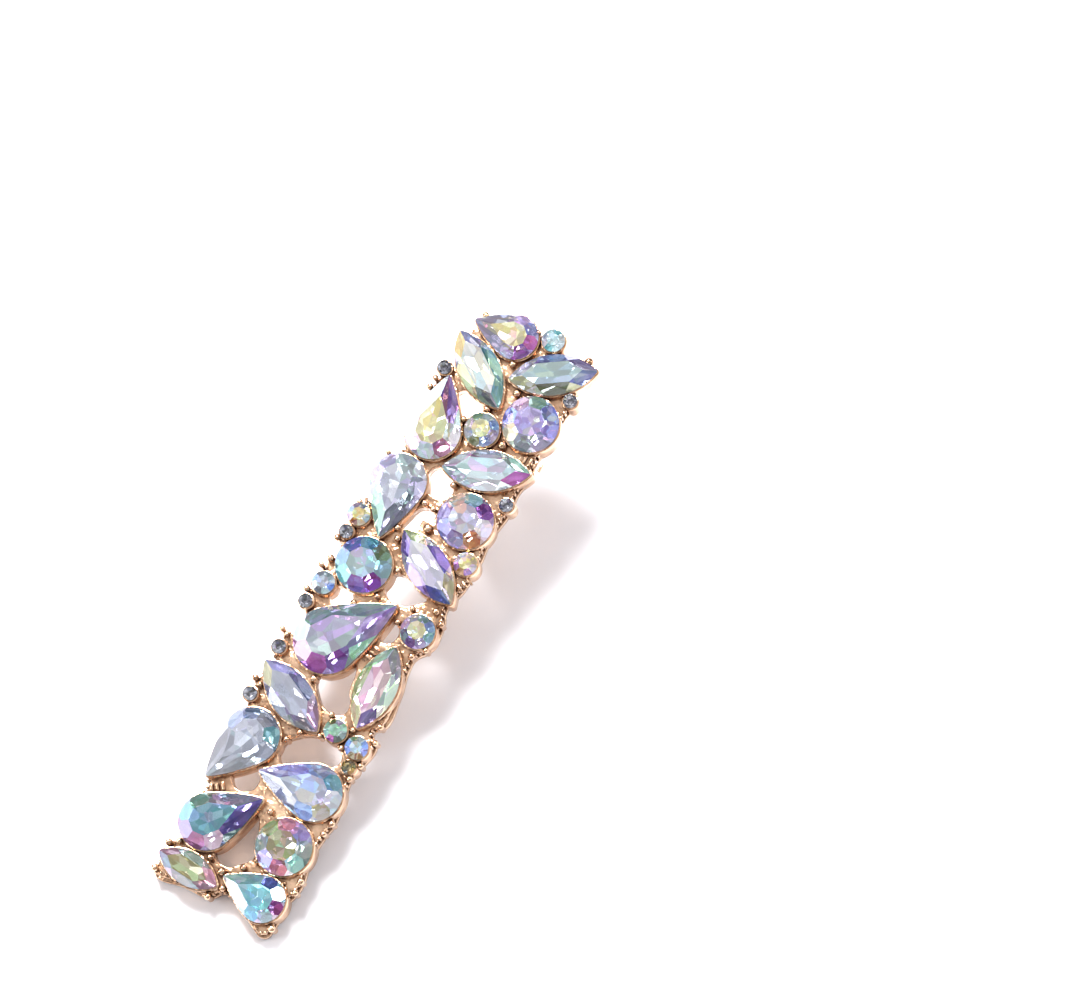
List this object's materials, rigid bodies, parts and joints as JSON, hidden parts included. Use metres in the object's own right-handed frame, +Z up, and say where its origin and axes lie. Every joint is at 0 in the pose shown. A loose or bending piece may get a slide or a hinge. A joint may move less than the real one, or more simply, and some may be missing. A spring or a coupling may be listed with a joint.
{
  "type": "crystal panel stud earring",
  "caption": "Long pierced cast panel set with iridescent cut stones, lying face up on its lower edge and the pin of its stud.",
  "frame": {"origin": "centre of the bounding box on the floor that the earring lies on", "axes": "+Z up; +Y along the panel towards its raised top end; +X across it, to the right when it is seen from in front"},
  "size_m": [0.0164, 0.0686, 0.0198],
  "materials": {
    "plated_casting": "polished warm gold plating over cast alloy",
    "iridescent_crystal": "cut crystal, foiled behind, iridescent coat",
    "clear_crystal": "cut clear crystal, foiled behind"
  },
  "bodies": {
    "root": {"cast_frame": "plated_casting", "small_pear_stone_01": "iridescent_crystal", "small_round_stone_02": "iridescent_crystal", "navette_stone_03": "iridescent_crystal", "navette_stone_04": "iridescent_crystal", "tiny_round_stone_05": "clear_crystal", "tiny_round_stone_06": "clear_crystal", "pear_stone_07": "iridescent_crystal", "medium_round_stone_08": "iridescent_crystal", "round_stone_09": "iridescent_crystal", "navette_stone_10": "iridescent_crystal", "pear_stone_11": "iridescent_crystal", "round_stone_12": "iridescent_crystal", "tiny_round_stone_13": "clear_crystal", "small_round_stone_14": "iridescent_crystal", "tiny_round_stone_15": "clear_crystal", "round_stone_16": "iridescent_crystal", "navette_stone_17": "iridescent_crystal", "small_round_stone_18": "iridescent_crystal", "small_round_stone_19": "iridescent_crystal", "tiny_round_stone_20": "clear_crystal", "large_pear_stone_21": "iridescent_crystal", "medium_round_stone_22": "iridescent_crystal", "tiny_round_stone_23": "clear_crystal", "navette_stone_24": "iridescent_crystal", "navette_stone_25": "iridescent_crystal", "tiny_round_stone_26": "clear_crystal", "small_round_stone_27": "iridescent_crystal", "small_round_stone_28": "iridescent_crystal", "tiny_round_stone_29": "clear_crystal", "pear_stone_30": "iridescent_crystal", "pear_stone_31": "iridescent_crystal", "pear_stone_32": "iridescent_crystal", "round_stone_33": "iridescent_crystal", "small_navette_stone_34": "iridescent_crystal", "small_pear_stone_35": "iridescent_crystal"}
  },
  "joints": []
}
